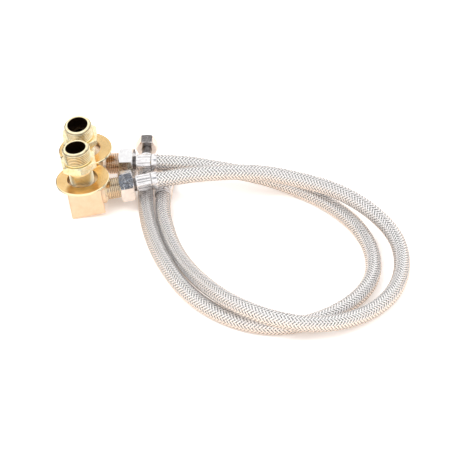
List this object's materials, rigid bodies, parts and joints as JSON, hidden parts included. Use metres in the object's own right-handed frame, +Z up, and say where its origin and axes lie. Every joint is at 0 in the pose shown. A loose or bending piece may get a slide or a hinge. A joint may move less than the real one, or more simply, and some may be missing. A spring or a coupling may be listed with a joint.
{
  "type": "braided supply line",
  "caption": "Pair of braided stainless water supply lines on threaded brass wall elbows with loose flanges and hex adapters; each hose ends in a smaller swivel nut.",
  "frame": {"origin": "on the surface the pair lies on, under the middle of the two elbows with their flanges, adapters and near fittings", "axes": "+Z up; +X from the elbows towards the hose loop; -Y towards the viewer, where the loop lies"},
  "size_m": [0.3314, 0.2989, 0.076],
  "materials": {
    "brass_body": "satin cast brass",
    "brass_flange": "polished brass",
    "brass_adapter": "polished brass",
    "nut_plating": "bright plating",
    "stem_brass": "turned brass, nickel plated",
    "gasket_rubber": "soft black rubber",
    "ferrule_steel": "pressed stainless steel",
    "liner_rubber": "smooth dark rubber",
    "braid_steel": "woven stainless wire",
    "far_nut_plating": "bright plating"
  },
  "bodies": {
    "lines": {"front_elbow": "brass_body", "front_near_stem": "stem_brass", "front_near_gasket": "gasket_rubber", "front_near_ferrule": "ferrule_steel", "front_liner": "liner_rubber", "front_braid": "braid_steel", "front_far_ferrule": "ferrule_steel", "front_far_stem": "stem_brass", "front_far_gasket": "gasket_rubber", "rear_elbow": "brass_body", "rear_near_stem": "stem_brass", "rear_near_gasket": "gasket_rubber", "rear_near_ferrule": "ferrule_steel", "rear_liner": "liner_rubber", "rear_braid": "braid_steel", "rear_far_ferrule": "ferrule_steel", "rear_far_stem": "stem_brass", "rear_far_gasket": "gasket_rubber"},
    "front_flange": {"front_wall_flange": "brass_flange"},
    "front_adapter": {"front_hex_adapter": "brass_adapter"},
    "front_near_nut_body": {"front_near_nut": "nut_plating"},
    "front_far_nut_body": {"front_far_nut": "far_nut_plating"},
    "rear_flange": {"rear_wall_flange": "brass_flange"},
    "rear_adapter": {"rear_hex_adapter": "brass_adapter"},
    "rear_near_nut_body": {"rear_near_nut": "nut_plating"},
    "rear_far_nut_body": {"rear_far_nut": "far_nut_plating"}
  },
  "joints": [
    {"name": "front_adapter_turn", "type": "hinge", "parent": "lines", "child": "front_adapter", "pos_m": [-0.02614, -0.01969, 0.05089], "axis": [-0.1377, -0.0204, 0.9903], "continuous": true},
    {"name": "front_near_nut_turn", "type": "hinge", "parent": "lines", "child": "front_near_nut_body", "pos_m": [0.01806, -0.01414, 0.02312], "axis": [0.9829, 0.1207, 0.1392], "continuous": true},
    {"name": "front_far_nut_turn", "type": "hinge", "parent": "lines", "child": "front_far_nut_body", "pos_m": [0.05586, 0.02744, 0.00935], "axis": [-0.0778, -0.997, 0], "continuous": true},
    {"name": "front_flange_turn", "type": "hinge", "parent": "lines", "child": "front_flange", "pos_m": [-0.02332, -0.0207, 0.03546], "axis": [-0.1045, -0.0035, 0.9945], "continuous": true},
    {"name": "rear_adapter_turn", "type": "hinge", "parent": "lines", "child": "rear_adapter", "pos_m": [-0.02602, 0.01908, 0.05251], "axis": [-0.1164, -0.1906, 0.9747], "continuous": true},
    {"name": "rear_near_nut_turn", "type": "hinge", "parent": "lines", "child": "rear_near_nut_body", "pos_m": [0.01776, 0.02159, 0.02366], "axis": [0.9903, -0.0971, 0.0993], "continuous": true},
    {"name": "rear_far_nut_turn", "type": "hinge", "parent": "lines", "child": "rear_far_nut_body", "pos_m": [0.035, 0.0679, 0.00939], "axis": [0, -0.9999, -0.0137], "continuous": true},
    {"name": "rear_flange_slide", "type": "slide", "parent": "lines", "child": "rear_flange", "axis": [-0.1164, -0.1906, 0.9747], "range_m": [0, 0.008]}
  ]
}
